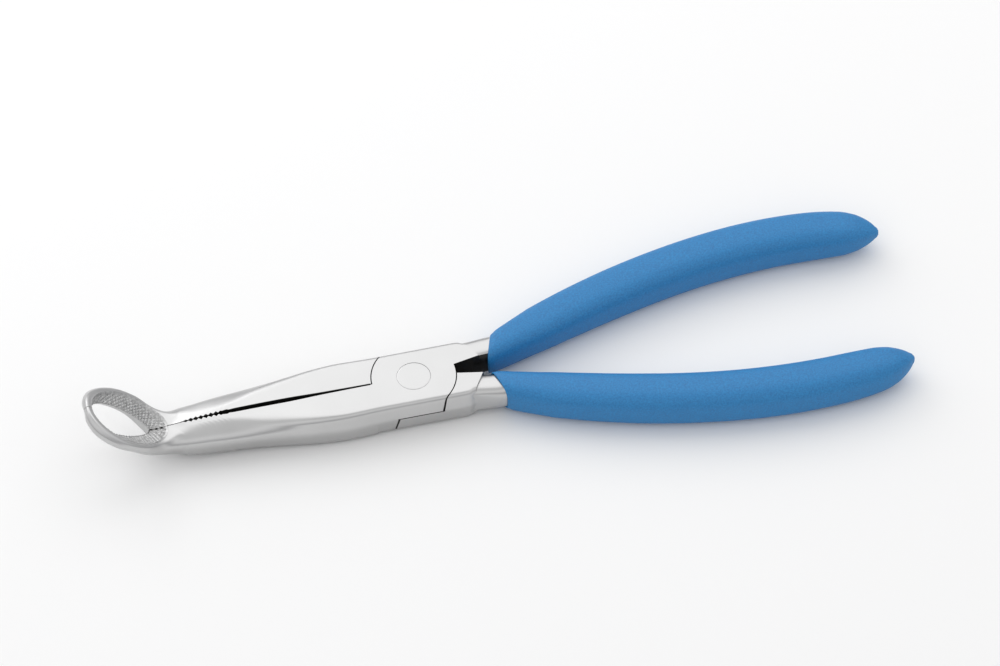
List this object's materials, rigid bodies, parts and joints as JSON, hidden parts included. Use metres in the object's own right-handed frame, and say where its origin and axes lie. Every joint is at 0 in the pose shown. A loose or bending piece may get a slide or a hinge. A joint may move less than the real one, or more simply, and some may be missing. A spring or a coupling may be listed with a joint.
{
  "type": "ring-jaw long nose pliers",
  "caption": "Long nose pliers whose jaws end in an angled, knurled oval gripping ring; lap-jointed steel levers on a flush rivet with dip-coated handles.",
  "frame": {"origin": "on the pivot axis, at the head's flat back face", "axes": "+X from the pivot towards the gripping ring, +Z along the pivot axis towards the side that the ring is bent to, +Y to the front lever's jaw"},
  "size_m": [0.2002, 0.0561, 0.0219],
  "materials": {
    "polished_steel": "polished chrome plate over forged steel",
    "rivet_steel": "ground flush and plated with the head",
    "grip_coat": "dip-coated soft vinyl, matte with a fine grain"
  },
  "bodies": {
    "rear": {"rear_lever": "polished_steel", "pivot_rivet": "rivet_steel", "rear_grip": "grip_coat"},
    "front": {"front_lever": "polished_steel", "front_grip": "grip_coat"}
  },
  "joints": [
    {"name": "jaw_pivot", "type": "hinge", "parent": "rear", "child": "front", "pos_m": [0, 0, 0], "axis": [0, 0, 1], "range_deg": [0, 30]}
  ]
}
